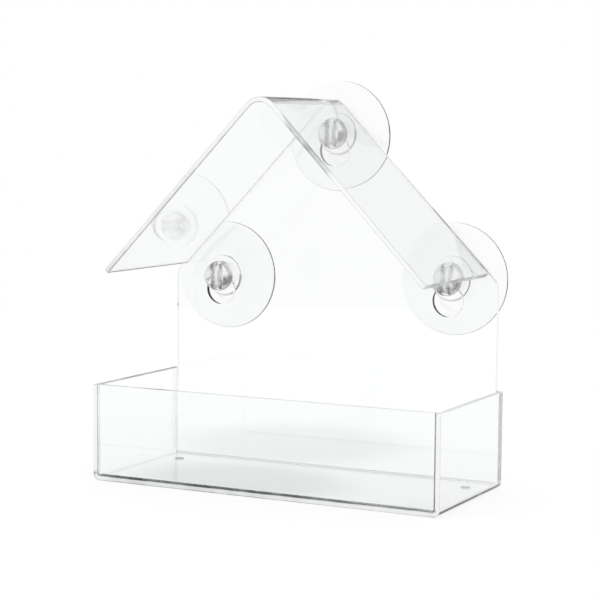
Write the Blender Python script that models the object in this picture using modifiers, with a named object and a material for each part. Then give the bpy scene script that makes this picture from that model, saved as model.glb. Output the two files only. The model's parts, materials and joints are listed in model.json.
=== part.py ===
"""Window bird feeder: clear sheets bent and bonded edge to edge, and three suction cups in keyholes.

Metres, +Z up, +X to the right seen from the front, +Y towards the window pane. The origin is the
middle of the bounding box's floor, so the feeder stands on the plane z = 0.
"""
import math

import bmesh
import bpy

# Sheet stock
SHEET = 0.002
JOINT_GAP = 0.0003

# Tray: one sheet bent to a U, and the strip that closes it at the front
TRAY_WIDTH = 0.150
TRAY_DEPTH = 0.0638
TRAY_HEIGHT = 0.0387
TRAY_BEND = 0.0008
DRAIN_DIAMETER = 0.0035
DRAIN_FROM_WALL = 0.009
DRAIN_FROM_PANEL = 0.0118

# Roof: one sheet bent along the ridge
RIDGE_TOP = 0.1531
RIDGE_BEND = 0.0063
EAVE_INSET = 0.0041
ROOF_PITCH = math.radians(46.2)
ROOF_OVERHANG = 0.001

# Back panel: its sloping edges are a little flatter than the roof
GABLE_EASE = math.radians(0.8)
PEAK_RADIUS = 0.0038
SHOULDER_RADIUS = 0.008

# Keyholes: where the neck sits at the upper end of each slot, and how far it drops to the entry hole
SIDE_KEYHOLE_FROM_WALL = 0.0214
SIDE_KEYHOLE_BELOW_EAVE = 0.00315
TOP_KEYHOLE_BELOW_PEAK = 0.01355
KEYHOLE_TRAVEL = 0.00835
ENTRY_CLEARANCE = 0.0002

# Suction cup, on its axis from the head to the rim
HEAD_DIAMETER = 0.0124
HEAD_FRONT_DIAMETER = 0.0050
HEAD_SKIRT = 0.0012
HEAD_HEIGHT = 0.0060
HEAD_CHAMFER = 0.0003
CROSS_HOLE_DIAMETER = 0.0042
CROSS_HOLE_HEIGHT = 0.0028
GATE_DIAMETER = 0.0024
GATE_DEPTH = 0.0004
NECK_DIAMETER = 0.0060
BOSS_DIAMETER = 0.0170
BOSS_HEIGHT = 0.0014
BOSS_CHAMFER = 0.0005
CUP_DIAMETER = 0.0450
CUP_DEPTH = 0.0056
LIP_WIDTH = 0.0012
LIP_THICKNESS = 0.0008
HOLLOW_DEPTH = 0.0030
DISH_CURVE = 1.2

# How far each cup has slid down its keyhole, as a share of the travel
CUP_DROP_SHARES = {"left": 1 / 3, "right": 0.0, "top": 0.18}

# Colour, roughness and index of refraction
ACRYLIC = ((0.95, 0.97, 0.96), 0.03, 1.49)
VINYL = ((0.93, 0.95, 0.95), 0.08, 1.53)

# Facets
QUARTER_STEPS = 8
DOME_STEPS = 5
DISH_STEPS = 5
TURN_STEPS = 48
CUT_OVERRUN = 0.001
MERGE = 0.00001

# Worked out from the sizes above
HALF_INSIDE = TRAY_WIDTH / 2 - SHEET
BOSS_GAP = JOINT_GAP
NECK_LENGTH = SHEET + JOINT_GAP + BOSS_GAP
RIM_BEHIND = BOSS_GAP + CUP_DEPTH
TRAY_FRONT = (ROOF_OVERHANG - TRAY_DEPTH - RIM_BEHIND) / 2
TRAY_BACK = TRAY_FRONT + TRAY_DEPTH
PANEL_FRONT = TRAY_BACK - SHEET
ROOF_FRONT = TRAY_FRONT - ROOF_OVERHANG
EAVE_X = HALF_INSIDE - EAVE_INSET
GABLE_PITCH = ROOF_PITCH - GABLE_EASE


def clear_scene():
    for item in list(bpy.data.objects):
        bpy.data.objects.remove(item, do_unlink=True)


def make_collection(name):
    group = bpy.data.collections.new(name)
    bpy.context.scene.collection.children.link(group)
    return group


def clear_plastic(name, look):
    """A see-through plastic of one faint tint."""
    colour, roughness, ior = look
    material = bpy.data.materials.new(name)
    material.use_nodes = True
    shader = material.node_tree.nodes["Principled BSDF"]
    shader.inputs["Base Color"].default_value = (*colour, 1.0)
    shader.inputs["Roughness"].default_value = roughness
    shader.inputs["Metallic"].default_value = 0.0
    shader.inputs["IOR"].default_value = ior
    shader.inputs["Transmission Weight"].default_value = 1.0
    return material


def arc(centre, radius, start, end):
    """Points of a circular arc from one angle to another, both ends included."""
    steps = max(1, round(QUARTER_STEPS * abs(end - start) / (math.pi / 2)))
    angles = [start + (end - start) * i / steps for i in range(steps + 1)]
    return [(centre[0] + radius * math.cos(a), centre[1] + radius * math.sin(a)) for a in angles]


def mirrored(right_half):
    """A closed outline from its right half, which runs from below to above."""
    left_half = [(-x, z) for x, z in reversed(right_half) if x > MERGE]
    return right_half + left_half


def add_sheet(name, outlines, thickness, middle_y, group, material):
    """A flat piece that stands upright: outlines of x and z, the first outside, the others holes."""
    curve = bpy.data.curves.new(name, "CURVE")
    curve.dimensions = "2D"
    curve.fill_mode = "BOTH"
    curve.extrude = thickness / 2
    for outline in outlines:
        spline = curve.splines.new("POLY")
        spline.points.add(len(outline) - 1)
        for point, (x, z) in zip(spline.points, outline):
            point.co = (x, z, 0.0, 1.0)
        spline.use_cyclic_u = True
    piece = bpy.data.objects.new(name, curve)
    piece.rotation_euler = (math.radians(90.0), 0.0, 0.0)
    piece.location = (0.0, middle_y, 0.0)
    curve.materials.append(material)
    group.objects.link(piece)
    return piece


def curve_to_mesh(piece):
    """The same piece as a mesh with its caps welded on, so that it can be cut."""
    bpy.context.view_layer.update()
    evaluated = piece.evaluated_get(bpy.context.evaluated_depsgraph_get())
    mesh = bpy.data.meshes.new_from_object(evaluated)
    work = bmesh.new()
    work.from_mesh(mesh)
    bmesh.ops.remove_doubles(work, verts=work.verts, dist=MERGE)
    work.to_mesh(mesh)
    work.free()
    name = piece.name
    solid = bpy.data.objects.new(name + "_mesh", mesh)
    solid.matrix_world = piece.matrix_world.copy()
    for group in piece.users_collection:
        group.objects.link(solid)
    bpy.data.objects.remove(piece, do_unlink=True)
    solid.name = name
    return solid


def add_cutter(name, radius, length, location, cutters):
    """A round cutter with its axis upright."""
    bpy.ops.mesh.primitive_cylinder_add(vertices=TURN_STEPS // 2, radius=radius, depth=length, location=location)
    cutter = bpy.context.object
    cutter.name = name
    for group in cutter.users_collection:
        group.objects.unlink(cutter)
    cutters.objects.link(cutter)
    cutter.hide_render = True
    cutter.display_type = "WIRE"
    return cutter


def cut(piece, cutter):
    boolean = piece.modifiers.new(cutter.name, "BOOLEAN")
    boolean.operation = "DIFFERENCE"
    boolean.solver = "EXACT"
    boolean.object = cutter


def tray_base_outline():
    """The U: left wall, floor and right wall of one bent sheet."""
    outer_bend = TRAY_BEND + SHEET
    bend_x = TRAY_WIDTH / 2 - outer_bend
    down, across = -math.pi / 2, 0.0
    outside = arc((bend_x, outer_bend), outer_bend, down, across)
    inside = arc((bend_x, outer_bend), TRAY_BEND, across, down)
    right_half = outside + [(TRAY_WIDTH / 2, TRAY_HEIGHT), (HALF_INSIDE, TRAY_HEIGHT)] + inside
    return right_half + [(-x, z) for x, z in reversed(right_half)]


def nested_corner():
    """The lower right corner of a panel that stands in the U, a gap inside its bend."""
    outer_bend = TRAY_BEND + SHEET
    centre = (TRAY_WIDTH / 2 - outer_bend, outer_bend)
    return arc(centre, TRAY_BEND - JOINT_GAP, -math.pi / 2, 0.0)


def front_panel_outline():
    return mirrored(nested_corner() + [(HALF_INSIDE - JOINT_GAP, TRAY_HEIGHT)])


def roof_arc_centre():
    return (0.0, RIDGE_TOP - RIDGE_BEND - SHEET)


def eave_height():
    """Height of the eaves' upper edges, on the lines that leave the ridge bend at the roof's pitch."""
    radius = RIDGE_BEND + SHEET
    start_x = radius * math.sin(ROOF_PITCH)
    start_z = roof_arc_centre()[1] + radius * math.cos(ROOF_PITCH)
    return start_z - (EAVE_X - start_x) * math.tan(ROOF_PITCH)


def roof_outline():
    """The V with a bent ridge: over the top from the right eave to the left, and back underneath."""
    centre = roof_arc_centre()
    first, last = math.pi / 2 - ROOF_PITCH, math.pi / 2 + ROOF_PITCH
    eave_z = eave_height()
    inner_x = EAVE_X - SHEET * math.sin(ROOF_PITCH)
    inner_z = eave_z - SHEET * math.cos(ROOF_PITCH)
    over = [(EAVE_X, eave_z)] + arc(centre, RIDGE_BEND + SHEET, first, last) + [(-EAVE_X, eave_z)]
    under = [(-inner_x, inner_z)] + arc(centre, RIDGE_BEND, last, first) + [(inner_x, inner_z)]
    return over + under


def gable_edge(x):
    """Height of the panel's sloping edge, which runs through the eave's upper edge."""
    return eave_height() + (EAVE_X - x) * math.tan(GABLE_PITCH)


def gable_arc(x, radius, start, end):
    """An arc that touches the sloping edge from below, with its centre at the given x."""
    return arc((x, gable_edge(x) - radius / math.cos(GABLE_PITCH)), radius, start, end)


def back_panel_outline():
    """The house shape: nested feet, upright sides, rounded shoulders, sloping edges and a round peak."""
    touch = math.pi / 2 - GABLE_PITCH
    shoulder = gable_arc(HALF_INSIDE - JOINT_GAP - SHOULDER_RADIUS, SHOULDER_RADIUS, 0.0, touch)
    peak = gable_arc(0.0, PEAK_RADIUS, touch, math.pi / 2)
    return mirrored(nested_corner() + shoulder + peak)


def keyhole_places():
    """Where each cup's neck sits when it is pushed up to the end of its slot."""
    side_x = HALF_INSIDE - SIDE_KEYHOLE_FROM_WALL
    side_z = eave_height() - SIDE_KEYHOLE_BELOW_EAVE
    top_z = max(z for x, z in back_panel_outline()) - TOP_KEYHOLE_BELOW_PEAK
    return {"left": (-side_x, side_z), "right": (side_x, side_z), "top": (0.0, top_z)}


def keyhole_outline(place):
    """A slot with a round upper end, which opens below into the hole that lets the head through."""
    x, z = place
    slot = NECK_DIAMETER / 2 + JOINT_GAP
    entry = HEAD_DIAMETER / 2 + ENTRY_CLEARANCE
    meet = math.asin(slot / entry)
    upper = arc((x, z), slot, 0.0, math.pi)
    lower = arc((x, z - KEYHOLE_TRAVEL), entry, math.pi / 2 + meet, 5 * math.pi / 2 - meet)
    return upper + lower


def head_profile():
    """Radius and height over the boss face: gate mark, dome, skirt and underside of the head."""
    front, radius = HEAD_FRONT_DIAMETER / 2, HEAD_DIAMETER / 2
    skirt, top = NECK_LENGTH + HEAD_SKIRT, NECK_LENGTH + HEAD_HEIGHT
    points = [(0.0, top - GATE_DEPTH), (GATE_DIAMETER / 2, top - GATE_DEPTH), (GATE_DIAMETER / 2, top)]
    for i in range(DOME_STEPS + 1):
        turn = math.pi / 2 * i / DOME_STEPS
        points.append((front + (radius - front) * math.sin(turn), skirt + (top - skirt) * math.cos(turn)))
    points.append((radius, NECK_LENGTH + HEAD_CHAMFER))
    points.append((radius - HEAD_CHAMFER, NECK_LENGTH))
    return points


def dish_profile():
    """The dish from the boss to the lip, and back through the hollow to the axis."""
    boss, rim = BOSS_DIAMETER / 2, CUP_DIAMETER / 2
    lip_top, lip_inside = LIP_THICKNESS - CUP_DEPTH, rim - LIP_WIDTH
    points = []
    for i in range(DISH_STEPS + 1):
        share = i / DISH_STEPS
        points.append((boss + (rim - boss) * share, (lip_top + BOSS_HEIGHT) * share ** DISH_CURVE - BOSS_HEIGHT))
    points.append((rim, -CUP_DEPTH))
    for i in range(DISH_STEPS + 1):
        share = 1 - i / DISH_STEPS
        points.append((lip_inside * share, HOLLOW_DEPTH * (1 - share ** 2) - CUP_DEPTH))
    return points


def cup_profile():
    neck, boss = NECK_DIAMETER / 2, BOSS_DIAMETER / 2
    stem = [(neck, NECK_LENGTH), (neck, 0.0), (boss - BOSS_CHAMFER, 0.0), (boss, -BOSS_CHAMFER)]
    return head_profile() + stem + dish_profile()


def add_cup(side, x, z, group, cutters, material):
    """A cup turned about its axis, which points out of the front of its keyhole."""
    drop = KEYHOLE_TRAVEL * CUP_DROP_SHARES[side]
    place = bpy.data.objects.new("keyhole_" + side, None)
    place.location = (x, TRAY_BACK + BOSS_GAP, z)
    group.objects.link(place)

    name = "suction_cup_" + side
    points = cup_profile()
    mesh = bpy.data.meshes.new(name)
    mesh.from_pydata([(r, 0.0, s) for r, s in points], [(i, i + 1) for i in range(len(points) - 1)], [])
    cup = bpy.data.objects.new(name, mesh)
    cup.parent = place
    cup.location = (0.0, 0.0, -drop)
    cup.rotation_euler = (math.radians(90.0), 0.0, 0.0)
    mesh.materials.append(material)
    group.objects.link(cup)

    screw = cup.modifiers.new("turned", "SCREW")
    screw.axis = "Z"
    screw.steps = TURN_STEPS
    screw.render_steps = TURN_STEPS
    screw.use_merge_vertices = True
    screw.merge_threshold = MERGE
    screw.use_smooth_shade = True

    hole_y = TRAY_BACK + BOSS_GAP - NECK_LENGTH - CROSS_HOLE_HEIGHT
    hole = add_cutter(name + "_cross_hole", CROSS_HOLE_DIAMETER / 2, HEAD_DIAMETER + 2 * CUT_OVERRUN,
                      (x, hole_y, z - drop), cutters)
    cut(cup, hole)


def build():
    clear_scene()
    group = make_collection("window_bird_feeder")
    cutters = make_collection("cutters")

    keyholes = keyhole_places()
    outlines = [back_panel_outline()] + [keyhole_outline(place) for place in keyholes.values()]
    add_sheet("back_panel", outlines, SHEET, PANEL_FRONT + SHEET / 2, group,
              clear_plastic("back_panel", ACRYLIC))

    roof_length = PANEL_FRONT - JOINT_GAP - ROOF_FRONT
    add_sheet("roof", [roof_outline()], roof_length, ROOF_FRONT + roof_length / 2, group,
              clear_plastic("roof", ACRYLIC))

    add_sheet("front_panel", [front_panel_outline()], SHEET, TRAY_FRONT + SHEET / 2, group,
              clear_plastic("front_panel", ACRYLIC))

    u_sheet = add_sheet("tray_base", [tray_base_outline()], TRAY_DEPTH, TRAY_FRONT + TRAY_DEPTH / 2, group,
                        clear_plastic("tray_base", ACRYLIC))
    base = curve_to_mesh(u_sheet)
    drain_x = HALF_INSIDE - DRAIN_FROM_WALL
    for side, x in (("left", -drain_x), ("right", drain_x)):
        cut(base, add_cutter("drain_" + side, DRAIN_DIAMETER / 2, SHEET + 2 * CUT_OVERRUN,
                             (x, PANEL_FRONT - DRAIN_FROM_PANEL, SHEET / 2), cutters))

    for side, (x, z) in keyholes.items():
        add_cup(side, x, z, group, cutters, clear_plastic("suction_cup_" + side, VINYL))


build()
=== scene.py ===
"""Looks of the window bird feeder: clear bent sheets, their cemented seams and three soft suction cups.

Metres, +Z up, +X to the right seen from the front, +Y towards the window pane. Each piece is made where
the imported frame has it, with its place in its mesh.
"""
import contextlib
import json
import math

import bmesh
import bpy
import numpy as np
from mathutils import Matrix, Vector
from mathutils.geometry import delaunay_2d_cdt


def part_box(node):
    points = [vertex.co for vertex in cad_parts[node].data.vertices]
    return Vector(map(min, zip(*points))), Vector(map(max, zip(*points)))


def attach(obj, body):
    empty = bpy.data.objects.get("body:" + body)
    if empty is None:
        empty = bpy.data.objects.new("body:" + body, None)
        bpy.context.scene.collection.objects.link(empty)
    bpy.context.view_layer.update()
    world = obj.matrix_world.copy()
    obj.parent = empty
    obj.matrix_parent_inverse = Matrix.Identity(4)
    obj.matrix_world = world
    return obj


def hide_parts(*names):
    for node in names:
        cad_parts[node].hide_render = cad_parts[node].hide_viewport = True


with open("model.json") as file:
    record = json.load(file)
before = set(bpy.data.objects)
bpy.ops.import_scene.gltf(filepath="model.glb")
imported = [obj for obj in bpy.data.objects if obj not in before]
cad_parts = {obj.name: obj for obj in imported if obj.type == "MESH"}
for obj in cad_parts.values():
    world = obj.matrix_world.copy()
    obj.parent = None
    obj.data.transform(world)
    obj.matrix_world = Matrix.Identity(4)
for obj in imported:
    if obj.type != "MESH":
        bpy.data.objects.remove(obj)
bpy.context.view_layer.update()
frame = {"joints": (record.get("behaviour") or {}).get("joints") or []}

bl_info = {
    "name": "Window bird feeder",
    "version": (1, 0, 0),
    "blender": (4, 5, 0),
    "location": "View3D > Sidebar > Feeder",
    "description": "Clear acrylic feeder with suction cups, made piece by piece on its packed frame",
    "category": "Add Mesh",
}

MM = 0.001

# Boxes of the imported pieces, which fix every place below
PANEL_LOW, PANEL_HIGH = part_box("back_panel")
ROOF_LOW, ROOF_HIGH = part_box("roof")
TRAY_LOW, TRAY_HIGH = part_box("tray_base")
FRONT_LOW, FRONT_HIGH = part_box("front_panel")
CUP_BOXES = {side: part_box("suction_cup_" + side) for side in ("left", "right", "top")}

SHEET = PANEL_HIGH.y - PANEL_LOW.y
HALF_INSIDE = TRAY_HIGH.x - SHEET
JOINT_GAP = HALF_INSIDE - FRONT_HIGH.x

# Finishes of a face, each the number of its material on the piece; the last has painted shade that shows
# at a glancing look
CLEAR, WALL, END, ARRIS, GLANCE_SHADE = range(5)

# Smoothness of arcs, straight runs, quarter-round rims, long walls and turned pieces
ARC_STEPS = 28
RUN_STEPS = 24
RIM_STEPS = 5
STRETCH_ROWS = 12
CUP_ARC_STEPS = 9
TURN_STEPS = 144
HOLE_STEPS = 64

# Points this close are in one plane, and points this close are one point
PLANE_TOLERANCE = 1e-7
MERGE_DISTANCE = 0.001 * MM

# A face is level where the upright part of its normal is more, and a cup's edge is sharp beyond the angle
LEVEL_NORMAL = 0.9999
SHARP_ANGLE = math.radians(35.0)

ACRYLIC_IOR, VINYL_IOR = 1.49, 1.53

# Painted shade of edges and seams, from 0 for pale to 1 for darkest, as pairs of place and shade.
# It stands in for the dark lines that refraction and internal reflection draw along the clear edges, darker
# on some sides than others, and is only in part the darker colour of cut edges and solvent joints. A place
# across runs from -1 at the left to 1 at the right, one up from 0 at the foot to 1 at the top, and one back
# from 0 at the front end to 1 at the rear end.
PALE = 0.05
SHADES = {
    "gable across": ((-1.0, PALE), (-0.04, 0.10), (0.0, 0.20), (0.07, 0.60), (0.10, 1.0), (0.90, 1.0),
                     (1.0, 0.50)),
    "roof end outside across": ((-1.0, 0.45), (0.0, 0.35), (0.13, PALE), (0.16, 0.60), (0.40, 0.90),
                                (0.45, 0.15), (1.0, 0.25)),
    "roof end underneath across": ((-1.0, 0.70), (-0.1, 0.60), (0.13, PALE), (0.16, 0.80), (0.40, 1.0),
                                   (0.45, 0.20), (1.0, 0.25)),
    "roof rear across": ((0.0, PALE), (0.07, 0.60), (0.10, 1.0)),
    "ridge back": ((0.75, 1.0), (0.88, 0.0)),
    "roof seam across": ((-1.0, 0.10), (0.0, 0.10), (0.08, 0.20), (0.12, 1.0), (0.30, 1.0), (0.33, 0.65),
                         (1.0, 0.65)),
    "tray left up": ((0.05, 0.55), (0.22, 0.50), (0.28, PALE), (0.85, PALE), (0.90, 0.50), (1.0, 0.50)),
    "tray right up": ((0.05, 1.0), (0.18, 1.0), (0.25, 0.6), (0.85, 0.6), (0.95, 1.0)),
    "tray outside up": ((0.0, 1.0), (0.08, 1.0), (0.12, 0.2)),
    "tray underside across": ((-0.9, 1.0), (0.0, 0.9), (0.6, 0.3)),
    "tray floor across": ((-0.9, 1.0), (0.2, 0.9), (1.0, 0.4)),
    "panel top across": ((-0.70, 0.50), (-0.68, 0.90), (-0.60, 0.90), (-0.58, 0.50)),
    "panel foot across": ((-1.0, 1.0), (0.2, 1.0), (1.0, 0.6)),
    "seam foot across": ((-1.0, 1.0), (0.2, 1.0), (1.0, 0.7)),
    "seam left up": ((0.08, 0.6), (0.12, PALE), (0.85, PALE), (0.90, 0.4)),
    "seam right up": ((0.05, 1.0), (0.18, 1.0), (0.25, 0.75), (0.90, 0.75), (0.95, 1.0)),
    "bead across": ((-1.0, 1.0), (0.2, 0.9), (1.0, 0.4)),
}
# Painted shade of the tray's right bend at its front end, over the origin and at its rear end, for the
# line that refraction draws there; and of the cups' marks: painted shade at the lip, boss, head and cross
# hole for the dark rings that refraction draws there, and darker at the gate mark
BEND_SHADES = (0.25, 0.6, 1.0)
CUP_SHADES = {"lip": 0.6, "boss": 1.0, "head": 0.4, "cross hole": 0.2, "gate": 0.6}

# The camera's place and the shift of its picture, and the lamp's place, aim, size and power in watts
CAMERA_PLACE, CAMERA_SHIFT = (0.32588, -0.64654, 0.14308), (0.0048, 0.0044)
LAMP_PLACE, LAMP_AIM, LAMP_SIZE, LAMP_POWER = (-0.7, -0.5, 1.1), (0.0, 0.0, 0.08), (0.9, 0.6), 1.5

# Light of the floor: its own part of what is seen, its level to the camera, and soft ovals of painted shadow
# on it, seen through the sheets and in their reflections, each with its centre, its half widths, and its
# level in the middle and beyond
FLOOR_DEPTH, FLOOR_STEPS = 0.2 * MM, 64
FLOOR_GLOW, FLOOR_LEVEL = 0.8, 1.06
MIRRORED_OVAL = ((-0.03, 0.18), (0.10, 0.16), (0.5, 1.0))
REAR_OVAL = ((-0.045, 0.085), (0.06, 0.055), (0.94, 1.06))
TRAY_OVAL = ((-0.02, -0.01), (0.05, 0.035), (0.65, 1.0))

# Light of the studio. A height is the sine of the angle above the horizon, a depth that of the angle towards
# the back, and each pair is where a smooth step starts and ends
BACKDROP_DEPTHS, BACKDROP_HEIGHTS = (0.45, 0.70), (0.18, 0.27)
FRONT_DEPTHS, FRONT_LEVEL = (-0.3, -0.7), 0.8
BELOW_HEIGHTS = (-0.06, -0.14)
OVERHEAD_HEIGHTS, OVERHEAD_LEVEL = (0.27, 0.34), 0.62
MIRRORED_HEIGHTS, MIRRORED_LEVELS = (0.35, 0.90), (0.98, 0.50)
GAP_BANDS = (((0.03, 0.05), (0.16, 0.175)), ((0.215, 0.23), (0.31, 0.34)))
GAP_DEPTHS, GAP_DARKNESS = (0.3, 0.5), 0.98


def length(name, description, default, smallest=0.0):
    return bpy.props.FloatProperty(name=name, description=description, default=default, min=smallest,
                                   subtype="DISTANCE", unit="LENGTH", precision=5)


def angle(name, description, degrees):
    return bpy.props.FloatProperty(name=name, description=description, default=math.radians(degrees),
                                   subtype="ANGLE", unit="ROTATION")


def share(name, description, default):
    return bpy.props.FloatProperty(name=name, description=description, default=default, min=0.0, max=2.0,
                                   subtype="FACTOR")


def colour(name, description, default):
    return bpy.props.FloatVectorProperty(name=name, description=description, default=default, size=3,
                                         min=0.0, max=1.0, subtype="COLOR")


class FeederSheets(bpy.types.PropertyGroup):
    """Bends, corners, cut edges and seams of the clear sheets."""
    edge_round: length("Edge round", "Radius along the edges of the bent sheets", 0.3 * MM)
    panel_edge_round: length("Panel edge round", "Radius along the edges of the two flat panels", 0.08 * MM)
    tray_bend: length("Tray bend", "Inner radius between the tray's floor and its side walls", 0.8 * MM)
    ridge_bend: length("Ridge bend", "Inner radius of the roof's fold", 6.3 * MM)
    roof_pitch: angle("Roof pitch", "Slope of each roof half", 46.2)
    gable_ease: angle("Gable ease", "How much flatter the panel's sloping edges are than the roof", 0.8)
    peak_round: length("Peak round", "Radius at the top of the back panel", 3.8 * MM)
    shoulder_round: length("Shoulder round", "Radius at the back panel's shoulders", 8.0 * MM)
    drain_diameter: length("Drain", "Diameter of the two drain holes", 3.5 * MM)
    drain_from_wall: length("Drain from wall", "Drain centre to the side wall", 9.0 * MM)
    drain_from_panel: length("Drain from panel", "Drain centre to the back panel", 11.8 * MM)
    keyhole_corner: length("Keyhole corner", "Taken off where a slot's side meets its entry hole", 0.35 * MM)
    seam_clearance: length("Seam clearance", "Left free between a seam and the sheets", 0.03 * MM)
    fillet: length("Fillet", "Height of the solvent bead behind the front panel", 0.5 * MM)
    tint: colour("Tint", "Colour of the clear sheet", (0.975, 0.984, 0.982))
    edge_tint: colour("Edge tint", "Colour of the cut edges where they are pale", (0.985, 0.992, 0.990))
    # Line tint and seam tint are the colours of the painted shade at its darkest, where edges and seams are
    # painted dark for the lines that refraction draws along them
    line_tint: colour("Line tint", "Colour of the edges where they are darkest", (0.13, 0.145, 0.145))
    seam_tint: colour("Seam tint", "Darkest colour of the solvent seams", (0.05, 0.06, 0.06))
    seam_pale: colour("Seam pale", "Colour of the solvent seams where they are pale", (0.97, 0.98, 0.98))


class FeederCups(bpy.types.PropertyGroup):
    """Suction cup, on its axis from the mushroom head to the rim."""
    head: length("Head", "Diameter of the mushroom head", 12.4 * MM)
    head_height: length("Head height", "From the panel side of the head to its front", 6.0 * MM)
    cross_hole: length("Cross hole", "Diameter of the hole through the head", 4.2 * MM)
    cross_hole_height: length("Cross hole height", "Hole centre over the underside of the head", 2.8 * MM)
    gate: length("Gate", "Radius of the gate mark on the head", 1.2 * MM)
    gate_depth: length("Gate depth", "Depth of the gate mark", 0.4 * MM)
    neck: length("Neck", "Diameter of the neck in the slot", 6.0 * MM)
    boss: length("Boss", "Diameter of the boss behind the panel", 17.0 * MM)
    lip: length("Lip", "Thickness of the rim", 0.9 * MM)
    entry_clearance: length("Entry clearance", "Room round the head in the entry hole", 0.2 * MM)
    travel: length("Travel", "Way from the upper end of the slot down to the entry hole", 8.35 * MM)
    tint: colour("Tint", "Colour of the soft clear plastic", (0.996, 0.999, 0.998))
    # Grey is the colour of the painted shade at its darkest: the cups are painted it at the lip, boss, head
    # and cross hole for the dark rings that refraction draws there
    grey: colour("Grey", "Colour where the plastic is clouded darkest", (0.20, 0.22, 0.22))
    roughness: share("Roughness", "Roughness of the dish and the boss", 0.02)
    head_roughness: share("Head roughness", "Roughness of the thick head", 0.30)


class FeederStage(bpy.types.PropertyGroup):
    """Camera, floor and light."""
    azimuth: angle("Azimuth", "How far the camera stands to the right", 26.844)
    elevation: angle("Elevation", "How far the camera looks down", 5.570)
    roll: angle("Roll", "Tilt of the camera about its own axis", 0.478)
    lens: bpy.props.FloatProperty(name="Lens", description="Focal length on a 36 mm sensor, in millimetres",
                                  default=110.14, min=10.0)
    floor_radius: length("Floor", "Radius of the plain floor", 0.7)
    floor_colour: colour("Floor colour", "Colour of the plain floor", (0.86, 0.86, 0.86))
    surroundings: share("Surroundings", "Brightness of the unlit studio beside and above the backdrop", 0.12)


def settings(name):
    return getattr(bpy.context.scene, "feeder_" + name)


@contextlib.contextmanager
def edited(mesh):
    """The mesh's points and faces to edit, put back into the mesh at the end of the block."""
    work = bmesh.new()
    work.from_mesh(mesh)
    yield work
    work.to_mesh(mesh)
    work.free()


def shade_at(name, place):
    """The shade that a table gives at each place, straight between its pairs."""
    places, shades = zip(*SHADES[name])
    return np.interp(place, places, shades)


def rounded_path(corners, radii, steps=ARC_STEPS, run_steps=RUN_STEPS):
    """Points and outward normals of a closed path with round corners, as two arrays of x and z.

    The path runs anticlockwise. At a corner it turns by t, and an arc of radius r starts r * tan(t / 2)
    before the corner: its points and its normals are those at its start, turned about the arc's centre
    by equal parts of t. Evenly spaced points divide the straight run from there to the next arc."""
    corners, radii = np.asarray(corners, float), np.asarray(radii, float)
    leave = np.roll(corners, -1, axis=0) - corners
    leave /= np.linalg.norm(leave, axis=1)[:, None]
    arrive = np.roll(leave, 1, axis=0)
    turn = np.arctan2(arrive[:, 0] * leave[:, 1] - arrive[:, 1] * leave[:, 0], (arrive * leave).sum(1))
    start = corners - arrive * (radii * np.tan(np.abs(turn) / 2))[:, None]
    left = np.stack([-arrive[:, 1], arrive[:, 0]], axis=1)
    centre = start + left * (np.sign(turn) * radii)[:, None]
    part = turn[:, None] * np.linspace(0.0, 1.0, steps + 1)

    def turned(vectors):
        x, z = vectors[:, 0, None], vectors[:, 1, None]
        return np.stack([x * np.cos(part) - z * np.sin(part), x * np.sin(part) + z * np.cos(part)], axis=2)

    points, normals = centre[:, None] + turned(start - centre), turned(-left)
    part_way = np.arange(1, run_steps + 1)[:, None] / (run_steps + 1)
    run = points[:, -1:] + (np.roll(points[:, 0], -1, axis=0)[:, None] - points[:, -1:]) * part_way
    points = np.concatenate([points, run], axis=1)
    normals = np.concatenate([normals, np.repeat(normals[:, -1:], run_steps, axis=1)], axis=1)
    return points.reshape(-1, 2), normals.reshape(-1, 2)


def circle_path(centre, radius, steps=4 * ARC_STEPS):
    """Points and normals of a hole, clockwise, with normals that point into the hole."""
    angles = -np.arange(steps) * 2 * math.pi / steps
    way = np.stack([np.cos(angles), np.sin(angles)], axis=1)
    return np.asarray(centre) + radius * way, -way


def as_hole(path):
    """The same path run the other way, so that its normals point into a hole."""
    points, normals = path
    return points[::-1], -normals[::-1]


def wall_grid(path, low, high, rim, parts=1):
    """A wall on a closed path between two heights, as a grid of rows of points with its normals.

    Each row is the path moved inwards by rim * (1 - cos t) at a height rim * (1 - sin t) inside its end,
    so the wall leaves both end faces in a quarter round. Even rows divide the stretch between."""
    points, normals = path
    t = np.linspace(math.pi / 2, 0.0, RIM_STEPS + 1)
    between = np.zeros(parts - 1)
    turns = np.concatenate([t, between, t[::-1]])
    inset = rim * (1 - np.cos(turns))
    height = np.concatenate([low + rim * (1 - np.sin(t)), np.linspace(low + rim, high - rim, parts + 1)[1:-1],
                             (high - rim * (1 - np.sin(t)))[::-1]])
    outward = np.cos(turns)
    along = np.concatenate([-np.sin(t), between, np.sin(t[::-1])])
    plane = points[None] - normals[None] * inset[:, None, None]
    place = np.concatenate([plane, np.broadcast_to(height[:, None, None], plane.shape[:2] + (1,))], axis=2)
    flat = normals[None] * outward[:, None, None]
    facing = np.concatenate([flat, np.broadcast_to(along[:, None, None], flat.shape[:2] + (1,))], axis=2)
    return place, facing


def wall_rows(front, stretch, back, columns, inner=1):
    """One value for each cell or point of a wall: front and back in its quarter-round ends, and stretch in
    the inner rows between them."""
    values = np.empty((2 * RIM_STEPS + inner, columns))
    values[:RIM_STEPS], values[RIM_STEPS:-RIM_STEPS], values[-RIM_STEPS:] = front, stretch, back
    return values


def path_finish(corner_finish, run_finish):
    """Finish of each column of a path: of its round corners, and of the straight runs after them."""
    return np.concatenate([[corner] * ARC_STEPS + [run] * (RUN_STEPS + 1)
                           for corner, run in zip(corner_finish, run_finish)])


def grid_faces(rows, columns):
    """Four corners of each cell of a grid whose columns close up."""
    down, across = np.meshgrid(np.arange(rows - 1), np.arange(columns), indexing="ij")
    beside = (across + 1) % columns
    cells = [down * columns + across, down * columns + beside,
             (down + 1) * columns + beside, (down + 1) * columns + across]
    return np.stack(cells, axis=2).reshape(-1, 4)


def upright(vectors):
    """From path x, path z and distance along the extrusion to world x, y and z."""
    return vectors[..., [0, 2, 1]]


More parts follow.
